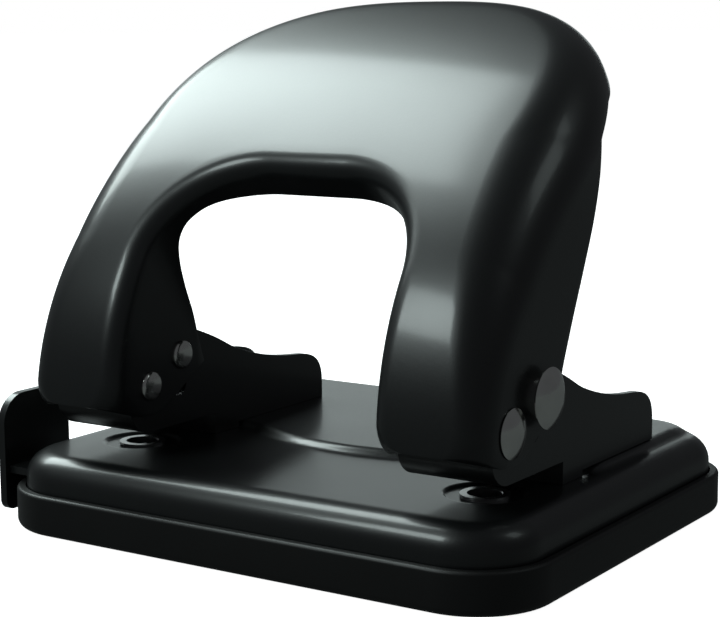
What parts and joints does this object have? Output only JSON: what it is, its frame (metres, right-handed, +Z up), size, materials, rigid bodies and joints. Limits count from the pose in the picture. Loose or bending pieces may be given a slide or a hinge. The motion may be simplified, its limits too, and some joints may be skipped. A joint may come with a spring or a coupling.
{
  "type": "hole punch",
  "caption": "Two-hole desk paper punch with a pressed arch handle, sprung punches, chip tray and sliding paper guide.",
  "frame": {"origin": "middle of the chip tray's underside, the face it stands on", "axes": "+X across the punch towards its right side, +Y from front to back, +Z up"},
  "size_m": [0.1214, 0.0994, 0.1036],
  "materials": {
    "black_paint": "satin black enamel",
    "guide_paint": "satin black enamel",
    "tray_plastic": "moulded black plastic",
    "nickel_plate": "bright nickel",
    "plated_steel": "zinc plated",
    "tool_steel": "ground steel",
    "spring_steel": "drawn spring wire"
  },
  "bodies": {
    "base": {"base_plate": "black_paint", "die_bush_left": "tool_steel", "die_bush_right": "tool_steel", "bracket_left": "black_paint", "bracket_right": "black_paint", "bracket_rivets": "plated_steel", "guide_bush_left": "tool_steel", "guide_bush_right": "tool_steel", "pivot_pin_left": "nickel_plate", "pivot_pin_right": "nickel_plate", "return_spring_left": "spring_steel", "return_spring_right": "spring_steel", "guide_channel": "plated_steel", "guide_spring": "spring_steel"},
    "handle": {"handle": "black_paint", "drive_pin_left": "nickel_plate", "drive_pin_right": "nickel_plate"},
    "punch_left": {"punch_left": "tool_steel", "spring_washer_left": "plated_steel"},
    "punch_right": {"punch_right": "tool_steel", "spring_washer_right": "plated_steel"},
    "tray": {"chip_tray": "tray_plastic"},
    "guide": {"paper_guide": "guide_paint", "guide_stop_rivet": "plated_steel"}
  },
  "joints": [
    {"name": "handle_pivot", "type": "hinge", "parent": "base", "child": "handle", "pos_m": [0, -0.03436, 0.0291], "axis": [-1, 0, 0], "range_deg": [0, 34], "stiffness_Nm_per_rad": 0.32, "springref_deg": -28.65},
    {"name": "punch_left_slide", "type": "slide", "parent": "base", "child": "punch_left", "axis": [0, 0, -1], "range_m": [0, 0.0064], "deforming": ["return_spring_left"]},
    {"name": "punch_right_slide", "type": "slide", "parent": "base", "child": "punch_right", "axis": [0, 0, -1], "range_m": [0, 0.0064], "deforming": ["return_spring_right"]},
    {"name": "tray_slide", "type": "slide", "parent": "base", "child": "tray", "axis": [0, 0, -1], "range_m": [0, 0.03]},
    {"name": "guide_slide", "type": "slide", "parent": "base", "child": "guide", "axis": [-1, 0, 0], "range_m": [0, 0.0882]}
  ],
  "couplings": [
    {"joint": "punch_left_slide", "follows": "handle_pivot", "m_per_rad": 0.01062},
    {"joint": "punch_right_slide", "follows": "handle_pivot", "m_per_rad": 0.01062}
  ]
}
